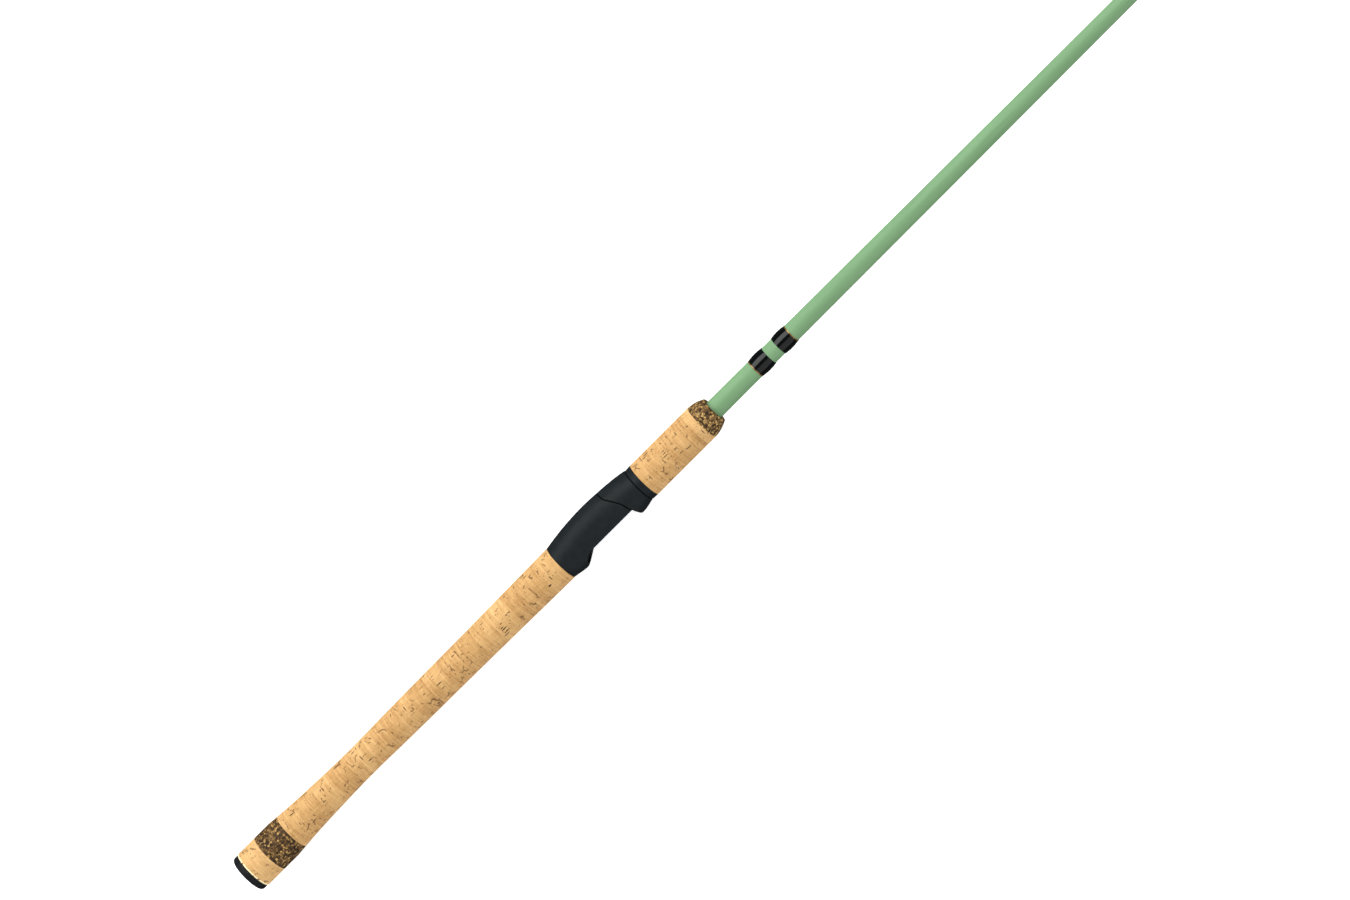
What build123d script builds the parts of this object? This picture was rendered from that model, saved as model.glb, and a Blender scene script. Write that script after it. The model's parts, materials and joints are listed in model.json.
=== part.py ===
from build123d import *
import math
import os

# Spinning rod, one-piece 7 ft glass blank with a cork handle and a screw-down reel seat.
# X runs along the rod from butt to tip, the reel foot and the line guides are on -Y, +Z is up.
# The origin is the centre of the butt cap's end face. Millimetres.

# handle, stations along X
cap_front = 4.5
butt_ring_front = 17.8
butt_burl_front = 35.2
rear_grip_front = 249.2
nut_face = 310.6
fore_cork_back = 314.7
fore_cork_front = 359.8
fore_grip_front = 369.6

# handle, radii
cap_radius = 11.75
cap_edge_round = 2.2
butt_radius = 11.95
butt_straight_end = 28.0
grip_stations = ((39.0, 11.1), (64.0, 9.87), (89.0, 9.25), (114.0, 9.58), (165.0, 10.07))
grip_top_radius = 11.0
fore_grip_radius = 11.0
fore_nose_radius = 8.2
fore_nose_middle_radius = 9.95
cork_ring_length = 12.7
rear_ring_count = 17

# blank, a hollow glass tube that is parallel inside the handle and tapers in front of it
blank_start = 5.2
blank_end = 2122.0
taper_start = 370.0
handle_blank_radius = 5.7
tip_radius = 0.9
taper_power = 1.05
butt_wall = 1.4
tip_wall = 0.45
taper_steps = 6
cap_plug_end = 16.0
plug_clearance = 0.1

# reel seat
seat_bore_radius = 6.1
platform_height = 7.1
channel_height = 6.95
pocket_roof = 11.2
pocket_half_width = 8.0
pocket_corner = 3.5
rear_lip_top = 257.8
rear_lip_foot = 266.0
lip_reach = 12.6
rear_pocket_end = 255.2
rear_pocket_toe = 251.6
toe_roof = 10.1
hood_split_top = 290.6
hood_split_foot = 299.6
hood_lip_crest = 301.6
hood_pocket_end = 304.4
hood_toe_end = 308.9
split_gap = 0.3
barrel_radius = 8.0
barrel_root_radius = 7.45
barrel_end = 352.0
thread_start = 311.5
thread_pitch = 2.5
running_gap = 0.1
key_half_width = 1.25
key_bottom = 7.2
key_gap = 0.15
nut_sleeve_radius = 9.2
nut_sleeve_end = 354.6
fore_bore_radius = 6.15
arbor_stations = (254.0, 276.0, 336.0)
arbor_length = 13.0

# hook keeper and its two thread wraps
keeper_wrap_one = (402.3, 412.3)
keeper_wrap_two = (419.7, 429.3)
keeper_wrap_thickness = 0.65
keeper_wire_radius = 0.6
keeper_inside_height = 4.4
keeper_bend_radius = 1.3
keeper_foot = (8.0, 1.8, 0.4)
trim_length = 0.7
trim_thickness = 0.25

# line guides, from the butt end towards the tip
guide_sizes = (25, 16, 12, 10, 8, 7, 6)
double_foot_count = 3
tip_gap = 102.0
gap_growth = 1.17
overall_length = 2134.0
double_foot_lean = 8.0
single_foot_lean = 14.0
leg_spread = 48.0
bead_swell = 1.02
weld_depth = 0.08
foot_thickness = 0.9
wrap_cover = 0.35
wrap_chamfer = 0.15
wrap_end_margin = 1.5
knee_clearance = 0.3

os.makedirs("parts", exist_ok=True)


def save(name, *solids):
    """Write one piece, or a group of like pieces, as parts/NAME.step."""
    shape = solids[0] if len(solids) == 1 else Compound(children=list(solids))
    shape.label = name
    export_step(shape, f"parts/{name}.step")


def turn(*points):
    """Solid turned about the rod's axis from an outline of (x, radius) points."""
    return revolve(make_face(Polyline(*points, close=True)), Axis.X)


def slab(x_from, x_to):
    """Thick disc across the rod, for cutting a long form into rings."""
    reach = 40.0
    centre = Location(((x_from + x_to) / 2, 0, 0))
    return centre * Box(x_to - x_from, reach, reach)


def side_prism(*points, half_width=20.0):
    """Prism along Z from an outline of (x, y) points."""
    return extrude(make_face(Polyline(*points, close=True)), amount=half_width, both=True)


def straight_wire(start, end, radius):
    """Round wire from start to end, cut square at both ends."""
    run = Vector(*end) - Vector(*start)
    along = Plane(origin=start, z_dir=run)
    return along * Cylinder(radius, run.length, align=(Align.CENTER, Align.CENTER, Align.MIN))


def branching_wires(start, ends, radius):
    """Straight wires that leave one round bead, which is a little thicker than they are."""
    wires = [Pos(start) * Sphere(radius * bead_swell)]
    for end in ends:
        wires.append(straight_wire(start, end, radius))
    return wires


def taper_radius(x):
    """Radius of the blank by its taper formula."""
    if x <= taper_start:
        return handle_blank_radius
    left = (blank_end - x) / (blank_end - taper_start)
    return tip_radius + (handle_blank_radius - tip_radius) * left**taper_power


taper_length = (blank_end - taper_start) / taper_steps
stations = [blank_start] + [taper_start + i * taper_length for i in range(taper_steps + 1)]


def blank_radius(x):
    """Radius of the blank as built, which is straight between its stations."""
    for near, far in zip(stations, stations[1:]):
        if x <= far:
            share = (x - near) / (far - near)
            return taper_radius(near) + share * (taper_radius(far) - taper_radius(near))
    return tip_radius


def blank_line(x_from, x_to):
    """Outline points of the blank's surface from x_from to x_to."""
    inner = [x for x in stations if x_from < x < x_to]
    return [(x, blank_radius(x)) for x in [x_from, *inner, x_to]]


def sleeve(x_from, x_to, thickness):
    """Ring on the blank with a barrel-shaped outside."""
    start = (x_from, blank_radius(x_from) + thickness * 0.4)
    crown = ((x_from + x_to) / 2, blank_radius((x_from + x_to) / 2) + thickness)
    finish = (x_to, blank_radius(x_to) + thickness * 0.4)
    outside = ThreePointArc(start, crown, finish)
    inside = Polyline(finish, *reversed(blank_line(x_from, x_to)), start)
    return revolve(make_face([outside, *inside.edges()]), Axis.X)


# ---------- blank ----------
def wall(x):
    share = (x - blank_start) / (blank_end - blank_start)
    return butt_wall + share * (tip_wall - butt_wall)


bore_line = [(x, blank_radius(x) - wall(x)) for x in stations]
blank = turn(*blank_line(blank_start, blank_end), *reversed(bore_line))
save("blank", blank)

# ---------- butt end and rear grip ----------
cap_face = Polyline((cap_front, 0), (0, 0), (0, cap_radius - cap_edge_round))
cap_round = RadiusArc((0, cap_radius - cap_edge_round), (cap_edge_round, cap_radius), cap_edge_round)
cap_side = Polyline((cap_edge_round, cap_radius), (cap_front, cap_radius), (cap_front, 0))
butt_cap = revolve(make_face([*cap_face.edges(), cap_round, *cap_side.edges()]), Axis.X)
plug_radius = handle_blank_radius - butt_wall - plug_clearance
plug_start = cap_front - 1
butt_cap += turn((plug_start, 0), (cap_plug_end, 0), (cap_plug_end, plug_radius), (plug_start, plug_radius))
save("butt_cap", butt_cap)

grip_curve = Spline(
    (butt_straight_end, butt_radius),
    *grip_stations,
    (rear_grip_front, grip_top_radius),
    tangents=((1, -0.06), (1, 0.01)),
)
grip_sides = Polyline(
    (rear_grip_front, grip_top_radius),
    (rear_grip_front, handle_blank_radius),
    (blank_start, handle_blank_radius),
    (blank_start, 0),
    (cap_front, 0),
    (cap_front, butt_radius),
    (butt_straight_end, butt_radius),
)
rear_form = revolve(make_face([grip_curve, *grip_sides.edges()]), Axis.X)
hole_end = blank_start + 1
rear_form -= turn((plug_start, 0), (plug_start, plug_radius), (hole_end, plug_radius), (hole_end, 0))

save("butt_cork_ring", rear_form & slab(cap_front, butt_ring_front))
save("butt_burl_ring", rear_form & slab(butt_ring_front, butt_burl_front))
rear_ring_length = (rear_grip_front - butt_burl_front) / rear_ring_count
rear_rings = []
for i in range(rear_ring_count):
    ring_back = butt_burl_front + i * rear_ring_length
    rear_rings.append((rear_form & slab(ring_back, ring_back + rear_ring_length)).solid())
save("rear_grip_cork_rings", *rear_rings)


# ---------- reel seat ----------
def seat_section(x, top, bottom, half_width, square_above, square_below):
    """Smooth closed section, an ellipse where its squareness is 2, and squarer on the reel's side."""
    points = []
    count = 28
    for i in range(count):
        angle = 2 * math.pi * i / count
        across = math.cos(angle)
        up = math.sin(angle)
        power = 2 / (square_above if up >= 0 else square_below)
        height = top if up >= 0 else bottom
        y = math.copysign(height * abs(up) ** power, up)
        z = math.copysign(half_width * abs(across) ** power, across)
        points.append((x, y, z))
    return Wire([Spline(*points, periodic=True)])


# each station: x, height above the axis, depth below it, half width, squareness above and below
seat_shape = (
    (rear_grip_front, 11.05, 10.9, 11.0, 2.0, 2.0),
    (rear_lip_top, 12.3, 12.2, 11.5, 2.25, 2.9),
    (268.0, 13.3, 12.4, 11.8, 2.5, 3.0),
    (280.0, 13.7, 12.4, 11.9, 2.6, 3.0),
    (292.0, 13.2, 12.4, 11.7, 2.4, 3.0),
    (303.6, 12.2, 12.15, 11.4, 2.15, 2.9),
    (nut_face, 11.1, 10.7, 11.0, 2.0, 2.1),
)
seat_form = Solid.make_loft([seat_section(*station) for station in seat_shape])


def split_line(shift):
    """Wavy rear edge of the moving hood, from above the seat down to the platform."""
    length = hood_split_foot - hood_split_top
    return Spline(
        (hood_split_top + shift, 15.0),
        (hood_split_top + 0.30 * length + shift, 7.3),
        (hood_split_top + 0.70 * length + shift, 0.8),
        (hood_split_foot + shift, -platform_height),
        tangents=((0.25, -1), (0.3, -1)),
    )


def behind_split(shift, x_far):
    edge = split_line(shift)
    rest = Polyline(edge @ 1, (hood_split_foot + shift, -15), (x_far, -15), (x_far, 15), edge @ 0)
    return extrude(make_face([edge, *rest.edges()]), amount=20, both=True)


def pocket(x_from, x_to, roof, half_width):
    """Room for one end of the reel foot, with rounded upper corners."""
    y_open = -2.0
    place = Pos((x_from + x_to) / 2, (y_open - roof) / 2, 0)
    room = place * Box(x_to - x_from, roof + y_open, 2 * half_width)
    return fillet(room.edges().filter_by(Axis.X).group_by(Axis.Y)[0], pocket_corner)


def below(height, x_from, x_to):
    """Everything on the reel's side of a plane at that height from the axis."""
    return side_prism((x_from, -height), (x_to, -height), (x_to, -20), (x_from, -20))


long_bore = turn((240, 0), (400, 0), (400, seat_bore_radius), (240, seat_bore_radius))
seat_body = seat_form & behind_split(-split_gap, rear_grip_front - 5)
seat_body -= side_prism(
    (rear_lip_top, -14),
    (rear_lip_top, -lip_reach),
    (rear_lip_foot, -platform_height),
    (310, -platform_height),
    (310, -14),
)
rear_pocket = pocket(rear_pocket_end, rear_lip_foot + 6, pocket_roof, pocket_half_width)
rear_toe = pocket(rear_pocket_toe, rear_pocket_end + 1, toe_roof, pocket_half_width - 1)
seat_body -= (rear_pocket + rear_toe) & below(channel_height, 240, rear_lip_foot)

barrel_outline = [(285.0, 0), (285.0, barrel_radius), (thread_start, barrel_radius)]
thread_count = int((barrel_end - 2 - thread_start) / thread_pitch)
for i in range(thread_count):
    groove = thread_start + i * thread_pitch
    barrel_outline += [
        (groove + 0.3 * thread_pitch, barrel_root_radius),
        (groove + 0.6 * thread_pitch, barrel_root_radius),
        (groove + 0.85 * thread_pitch, barrel_radius),
        (groove + thread_pitch, barrel_radius),
    ]
barrel_outline += [(barrel_end, barrel_radius), (barrel_end, 0)]
barrel = turn(*barrel_outline) - below(channel_height, 284, barrel_end + 1)
key_way = side_prism(
    (290, key_bottom), (barrel_end + 1, key_bottom), (barrel_end + 1, 9), (290, 9), half_width=key_half_width
)
seat_body = seat_body + (barrel - key_way) - long_bore
save("reel_seat_body", seat_body)

arbors = []
for arbor_start in arbor_stations:
    arbors.append(
        turn(
            (arbor_start, handle_blank_radius),
            (arbor_start + arbor_length, handle_blank_radius),
            (arbor_start + arbor_length, seat_bore_radius),
            (arbor_start, seat_bore_radius),
        ).solid()
    )
save("seat_arbors", *arbors)

# moving hood, which slides along the barrel on a key
hood_bore = barrel_radius + running_gap
hood = seat_form - behind_split(0, rear_grip_front - 5)
hood -= side_prism(
    (hood_split_foot - 6, -14),
    (hood_split_foot - 6, -platform_height),
    (hood_split_foot, -platform_height),
    (hood_lip_crest, -lip_reach),
    (hood_lip_crest, -14),
)
hood -= turn((280, 0), (320, 0), (320, hood_bore), (280, hood_bore))
hood -= pocket(280, hood_pocket_end, pocket_roof, pocket_half_width)
hood -= pocket(280, hood_toe_end, toe_roof - 0.4, pocket_half_width - 1)
hood &= side_prism((280, -20), (280, 20), (nut_face - key_gap, 20), (nut_face - key_gap, -20))
key_foot = key_bottom + key_gap
key_outline = ((297, key_foot), (309, key_foot), (309, 9), (297, 9))
hood_key = side_prism(*key_outline, half_width=key_half_width - key_gap)
hood += hood_key
save("moving_hood", hood)

# ---------- hood nut and the fore grip that turns with it ----------
nut_bore = barrel_radius + running_gap
hood_nut = turn(
    (nut_face, nut_bore),
    (nut_face, fore_grip_radius - 0.4),
    (nut_face + 0.4, fore_grip_radius),
    (fore_cork_back - 0.3, fore_grip_radius),
    (fore_cork_back, fore_grip_radius - 0.3),
    (fore_cork_back, nut_sleeve_radius),
    (nut_sleeve_end, nut_sleeve_radius),
    (nut_sleeve_end, nut_bore),
)
save("hood_nut", hood_nut)

fore_seams = [fore_cork_back] + [nut_sleeve_end - i * cork_ring_length for i in (2, 1, 0)] + [fore_cork_front]
fore_rings = []
for ring_back, ring_front in zip(fore_seams, fore_seams[1:]):
    bore = nut_sleeve_radius if ring_front <= nut_sleeve_end else fore_bore_radius
    fore_rings.append(
        turn(
            (ring_back, bore),
            (ring_front, bore),
            (ring_front, fore_grip_radius),
            (ring_back, fore_grip_radius),
        ).solid()
    )
save("fore_grip_cork_rings", *fore_rings)

nose_middle = (fore_cork_front + 0.6 * (fore_grip_front - fore_cork_front), fore_nose_middle_radius)
nose = ThreePointArc((fore_cork_front, fore_grip_radius), nose_middle, (fore_grip_front, fore_nose_radius))
nose_sides = Polyline(
    (fore_grip_front, fore_nose_radius),
    (fore_grip_front, fore_bore_radius),
    (fore_cork_front, fore_bore_radius),
    (fore_cork_front, fore_grip_radius),
)
save("fore_grip_burl_cap", revolve(make_face([nose, *nose_sides.edges()]), Axis.X))

# ---------- hook keeper ----------
post_gap = keeper_wire_radius + 0.2
post_back = keeper_wrap_one[1] + post_gap
post_front = keeper_wrap_two[0] - post_gap
keeper_surface = blank_radius(post_back)
keeper_top = keeper_surface + keeper_inside_height + keeper_wire_radius
keeper_path = FilletPolyline(
    (post_back, 0, -keeper_surface - 0.1),
    (post_back, 0, -keeper_top),
    (post_front, 0, -keeper_top),
    (post_front, 0, -keeper_surface - 0.1),
    radius=keeper_bend_radius,
)
keeper_end = Plane(origin=keeper_path @ 0, z_dir=keeper_path % 0)
keeper = sweep(keeper_end * Circle(keeper_wire_radius), path=keeper_path)
foot_length, foot_width, foot_plate = keeper_foot
keeper_feet = []
for inner, way in ((post_back, -1), (post_front, 1)):
    middle = inner + way * (foot_length / 2 - keeper_wire_radius)
    rest = blank_radius(middle - foot_length / 2)
    keeper_feet.append(Pos(middle, 0, -rest - foot_plate / 2) * Box(*keeper_foot))
save("hook_keeper", keeper + keeper_feet[0] + keeper_feet[1])
keeper_wraps = []
for span, foot in zip((keeper_wrap_one, keeper_wrap_two), keeper_feet):
    keeper_wraps.append((sleeve(*span, keeper_wrap_thickness) - foot).solid())
save("keeper_wraps", *keeper_wraps)


def trim_band(x_from):
    x_to = x_from + trim_length
    line = blank_line(x_from, x_to)
    outside = [(x, radius + trim_thickness) for x, radius in reversed(line)]
    return turn(*line, *outside).solid()


save("keeper_trim_bands", trim_band(keeper_wrap_one[0] - trim_length), trim_band(keeper_wrap_two[1]))


# ---------- line guides ----------
def hoop(place, outer, inner, length, edge=0.0):
    """Ring round the place's Z axis."""
    ring = Cylinder(outer, length) - Cylinder(inner, length * 2)
    if edge:
        ring = fillet(ring.edges().filter_by(GeomType.CIRCLE).group_by(SortBy.RADIUS)[0], edge)
    return place * ring


def hoop_point(place, radius, angle):
    """Point on a hoop, at that angle round from its side nearest the blank."""
    turned = math.radians(angle)
    nearest = Vector(0, 1, 0) - place.z_dir * place.z_dir.Y
    point = nearest.normalized() * (radius * math.cos(turned)) + Vector(0, 0, radius * math.sin(turned))
    return tuple(place.origin + point)


def ring_sizes(size):
    """Hoop radius, seat radius of the ceramic ring, its bore radius and both lengths."""
    bore = (0.84 * size - 1.6) / 2
    seat = size / 2 - 0.04 * size - 0.25
    hoop_length = 0.05 * size + 0.9
    return size / 2, seat, bore, hoop_length, hoop_length + 0.5


def guide_foot(x_from, x_to, width):
    """Flat foot lying on the blank, level with its thicker end."""
    height = -blank_radius(x_from) - foot_thickness / 2
    return Pos((x_from + x_to) / 2, height, 0) * Box(x_to - x_from, foot_thickness, width)


def foot_wrap(x_from, x_to, foot):
    """Thread wrap that covers the blank and one guide foot."""
    lift = foot_thickness / 2
    radius = blank_radius(x_from) + wrap_cover + lift
    tube = Cylinder(radius, x_to - x_from)
    tube = chamfer(tube.edges().filter_by(GeomType.CIRCLE), wrap_chamfer)
    place = Plane(origin=((x_from + x_to) / 2, -lift, 0), z_dir=(1, 0, 0))
    core = turn((x_from - 1, 0), *blank_line(x_from - 1, x_to + 1), (x_to + 1, 0))
    return (place * tube - core - foot).solid()


guide_station = overall_length
guide_stations = []
for i in range(len(guide_sizes)):
    guide_station -= tip_gap * gap_growth**i
    guide_stations.insert(0, guide_station)

guide_trims = []
for number, (size, x) in enumerate(zip(guide_sizes, guide_stations), start=1):
    hoop_radius, ring_seat, ring_bore, hoop_length, ring_length = ring_sizes(size)
    is_double = number <= double_foot_count
    centre_height = 1.15 * size if is_double else 0.95 * size + 1
    lean = double_foot_lean if is_double else single_foot_lean
    surface = blank_radius(x)
    wire = 0.03 * size + 0.45
    foot_width = 2.2 * wire
    centre = (x, -(surface + centre_height), 0)
    lean_way = (math.cos(math.radians(lean)), math.sin(math.radians(lean)), 0)
    place = Plane(origin=centre, z_dir=lean_way)
    frame = hoop(place, hoop_radius, ring_seat, hoop_length)

    # legs run from the feet to the sides and the bottom of the hoop
    mid_radius = (hoop_radius + ring_seat) / 2
    back_knee = x - (0.42 * size + 2)
    front_knee = x + (0.30 * size + 2)
    foot_length = 0.45 * size + 6
    leg_y = -blank_radius(back_knee) - wire * bead_swell
    back_end = back_knee - foot_length
    feet = [guide_foot(back_end, back_knee, foot_width)]
    wrap_spans = [(back_end - wrap_end_margin, back_knee - wire - knee_clearance)]
    leg_tops = [hoop_point(place, mid_radius, angle) for angle in (leg_spread, -leg_spread)]
    legs = branching_wires((back_knee, leg_y, 0), leg_tops, wire)
    guide_trims.append(trim_band(wrap_spans[0][0] - trim_length))
    if is_double:
        front_end = front_knee + foot_length
        feet.append(guide_foot(front_knee, front_end, foot_width))
        wrap_spans.append((front_knee + wire + knee_clearance, front_end + wrap_end_margin))
        legs += branching_wires((front_knee, leg_y, 0), [hoop_point(place, mid_radius, 0)], wire)
        guide_trims.append(trim_band(wrap_spans[1][1]))
    ring_room = place * Cylinder(ring_seat + weld_depth, ring_length * 2)
    frame = frame + [leg - ring_room for leg in legs] + feet
    save(f"guide_{number}_frame", frame)
    ring_edge = 0.3 * (ring_seat - ring_bore)
    save(f"guide_{number}_ring", hoop(place, ring_seat, ring_bore, ring_length, edge=ring_edge))
    save(f"guide_{number}_wraps", *[foot_wrap(*span, foot) for span, foot in zip(wrap_spans, feet)])

# ---------- tip-top ----------
tube_start = 2107.0
tube_end = 2124.0
tube_radius = 1.6
top_size = 6
top_lean = 18
top_leg_spread = 125
top_leg_radius = 0.5
top_post_radius = 0.55
leg_inset = 4.0
post_inset = 0.8
top_wrap_length = 8.0
top_wrap_thickness = 0.5
hoop_radius, ring_seat, ring_bore, hoop_length, ring_length = ring_sizes(top_size)
top_centre = (2131.0, -4.6, 0)
top_tilt = math.radians(top_lean)
top_place = Plane(origin=top_centre, z_dir=(math.cos(top_tilt), -math.sin(top_tilt), 0))
tube = turn((tube_start, 0), (tube_start, tube_radius), (tube_end, tube_radius), (tube_end, 0))
tube -= turn((tube_start - 1, 0), *blank_line(tube_start - 1, blank_end), (blank_end, 0))
top_frame = tube + hoop(top_place, hoop_radius, ring_seat, hoop_length)
top_middle = (hoop_radius + ring_seat) / 2
leg_tops = [hoop_point(top_place, top_middle, angle) for angle in (top_leg_spread, -top_leg_spread)]
top_legs = branching_wires((tube_start + leg_inset, -tube_radius, 0), leg_tops, top_leg_radius)
post_start = (tube_end - post_inset, -0.4, 0)
top_legs += branching_wires(post_start, [hoop_point(top_place, top_middle, 0)], top_post_radius)
top_room = top_place * Cylinder(ring_seat + weld_depth, ring_length * 2)
top_frame = top_frame + [leg - top_room for leg in top_legs]
top_frame -= turn((tube_start - 1, 0), *blank_line(tube_start - 1, blank_end), (blank_end, 0))
save("tip_top_frame", top_frame)
save("tip_top_ring", hoop(top_place, ring_seat, ring_bore, ring_length, edge=0.2))
save("tip_top_wrap", sleeve(tube_start - top_wrap_length, tube_start, top_wrap_thickness))
guide_trims.append(trim_band(tube_start - top_wrap_length - trim_length))
save("guide_trim_bands", *guide_trims)
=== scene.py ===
import json
import math
import random

import bmesh
import bpy
from mathutils import Matrix, Vector


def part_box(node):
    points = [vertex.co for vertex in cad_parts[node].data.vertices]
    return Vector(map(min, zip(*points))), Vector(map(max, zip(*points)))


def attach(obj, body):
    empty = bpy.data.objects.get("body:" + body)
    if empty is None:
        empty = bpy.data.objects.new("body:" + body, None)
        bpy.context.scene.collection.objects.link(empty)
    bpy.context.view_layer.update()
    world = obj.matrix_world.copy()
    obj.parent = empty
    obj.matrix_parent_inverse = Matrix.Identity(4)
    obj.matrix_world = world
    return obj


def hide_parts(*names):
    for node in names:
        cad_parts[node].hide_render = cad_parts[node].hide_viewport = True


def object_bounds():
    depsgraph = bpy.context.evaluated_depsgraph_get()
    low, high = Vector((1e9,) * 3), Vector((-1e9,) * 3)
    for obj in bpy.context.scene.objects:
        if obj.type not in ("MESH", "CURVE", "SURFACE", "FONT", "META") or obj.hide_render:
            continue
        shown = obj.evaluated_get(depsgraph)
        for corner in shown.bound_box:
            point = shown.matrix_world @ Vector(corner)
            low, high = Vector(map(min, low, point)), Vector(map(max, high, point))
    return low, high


# Spinning rod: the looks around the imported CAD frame.
# X runs from the butt to the tip, the reel foot and the guides are on -Y, +Z is up.
# Meshes are drawn in millimetres and shrunk to metres when a piece is placed.

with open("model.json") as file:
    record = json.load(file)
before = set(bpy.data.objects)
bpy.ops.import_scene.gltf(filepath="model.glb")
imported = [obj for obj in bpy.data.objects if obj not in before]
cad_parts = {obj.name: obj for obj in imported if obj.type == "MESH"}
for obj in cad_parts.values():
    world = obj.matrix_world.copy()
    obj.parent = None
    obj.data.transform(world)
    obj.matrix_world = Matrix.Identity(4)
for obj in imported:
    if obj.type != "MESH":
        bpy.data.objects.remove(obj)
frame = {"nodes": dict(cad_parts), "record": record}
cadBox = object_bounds()
mm = 0.001
print("frame loaded:", len(frame["nodes"]), "nodes")


def nodeBox(node):
    low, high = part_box(node)
    return low / mm, high / mm


def skinOf(node):
    # outer radius of a turned piece at each of its stations along the rod
    mesh = frame["nodes"][node].data
    stations = {}
    for polygon in mesh.polygons:
        outward = Vector((0, polygon.center.y, polygon.center.z)).normalized()
        if polygon.normal.dot(outward) > 0.3:
            for index in polygon.vertices:
                spot = mesh.vertices[index].co / mm
                x = round(spot.x, 2)
                stations[x] = max(stations.get(x, 0), math.hypot(spot.y, spot.z))
    return sorted(stations.items())


def linearAt(line, x):
    for (nearX, nearR), (farX, farR) in zip(line, line[1:]):
        if x <= farX:
            share = (x - nearX) / (farX - nearX)
            return nearR + share * (farR - nearR)
    return line[-1][1]


def smoothAt(line, x):
    # cubic through the stations on either side of x
    last = len(line) - 2
    i = next((k for k in range(last + 1) if x <= line[k + 1][0]), last)
    slopes = []
    for k in (i, i + 1):
        before, after = line[max(k - 1, 0)], line[min(k + 1, last + 1)]
        slopes.append((after[1] - before[1]) / (after[0] - before[0]))
    length = line[i + 1][0] - line[i][0]
    t = (x - line[i][0]) / length
    rise = line[i + 1][1] - line[i][1]
    first, second = slopes[0] * length, slopes[1] * length
    square, cube = 3 * rise - 2 * first - second, first + second - 2 * rise
    return line[i][1] + t * first + t * t * square + t**3 * cube


blankSkin = skinOf("blank")
bodyOfNode = {}
for bodyName, nodeNames in frame["record"]["behaviour"]["bodies"].items():
    for nodeName in nodeNames:
        bodyOfNode[nodeName] = bodyName


class Socket:
    # one output of a node tree; sums on it add Math nodes

    def __init__(self, tree, socket=None):
        self.tree = tree
        self.socket = socket

    def node(self, kind, settings=None, inputs=None, output=0):
        made = self.tree.nodes.new(kind)
        for key, value in (settings or {}).items():
            if key == "stops":
                ramp = made.color_ramp
                while len(ramp.elements) < len(value):
                    ramp.elements.new(0.5)
                for element, (place, colour) in zip(ramp.elements, value):
                    element.position = place
                    element.color = colour
            else:
                setattr(made, key, value)
        for key, value in (inputs or {}).items():
            if isinstance(value, Socket):
                self.tree.links.new(value.socket, made.inputs[key])
            else:
                made.inputs[key].default_value = value
        return Socket(self.tree, made.outputs[output] if made.outputs else None)

    def maths(self, operation, *values):
        return self.node("ShaderNodeMath", {"operation": operation}, dict(enumerate(values)))

    def __add__(self, other):
        return self.maths("ADD", self, other)

    def __sub__(self, other):
        return self.maths("SUBTRACT", self, other)

    def __rsub__(self, other):
        return self.maths("SUBTRACT", other, self)

    def __mul__(self, other):
        return self.maths("MULTIPLY", self, other)

    def __truediv__(self, other):
        return self.maths("DIVIDE", self, other)

    __radd__ = __add__
    __rmul__ = __mul__

    def over(self, low, high):
        # 0 below low, 1 above high, smooth between; low may be the larger of the two
        settings = {"interpolation_type": "SMOOTHSTEP"}
        return self.node("ShaderNodeMapRange", settings, {0: self, 1: low, 2: high})

    def colours(self, first, second):
        # this value chooses between two colours
        return self.node("ShaderNodeMix", {"data_type": "RGBA"}, {0: self, 6: first, 7: second}, 2)

    def ramp(self, *stops):
        return self.node("ShaderNodeValToRGB", {"stops": stops}, {0: self})

    def noise(self, where, scale, detail=3.0, roughness=0.55):
        values = {"Vector": where, "Scale": scale, "Detail": detail, "Roughness": roughness}
        return self.node("ShaderNodeTexNoise", {}, values)

    def vector(self, operation, *values):
        return self.node("ShaderNodeVectorMath", {"operation": operation}, dict(enumerate(values)))

    def stretched(self, where, x, y, z):
        return self.vector("MULTIPLY", where, (x, y, z))

    def cells(self, where, feature="F1", output=0):
        values = {"Vector": where, "Scale": 1.0}
        return self.node("ShaderNodeTexVoronoi", {"feature": feature}, values, output)

    def jostled(self, where, scale, amount):
        # the point moved about by up to half the amount, so that edges wander
        values = {"Vector": where, "Scale": scale, "Detail": 3.0}
        drift = self.vector("SUBTRACT", self.node("ShaderNodeTexNoise", {}, values, 1), (0.5, 0.5, 0.5))
        return self.vector("MULTIPLY_ADD", drift, (amount, amount, amount), where)

    def pick(self, where, channel="Red"):
        # a random number for each cell
        return self.node("ShaderNodeSeparateColor", {}, {0: self.cells(where, output="Color")}, channel)


def tint(red, green, blue):
    # screen colour from 0 to 255, as the linear colour that a shader takes
    shares = [value / 255 for value in (red, green, blue)]
    linear = [((share + 0.055) / 1.055) ** 2.4 if share > 0.04 else share / 12.92 for share in shares]
    return (*linear, 1.0)


def newMaterial(name):
    # the material, a blank socket to build from, and the point on the piece in millimetres
    material = bpy.data.materials.new(name)
    material.use_nodes = True
    material.node_tree.nodes.clear()
    start = Socket(material.node_tree)
    place = start.node("ShaderNodeTexCoord", output="Object")
    point = start.node("ShaderNodeVectorMath", {"operation": "SCALE"}, {0: place, "Scale": 1 / mm})
    return material, start, point


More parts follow.
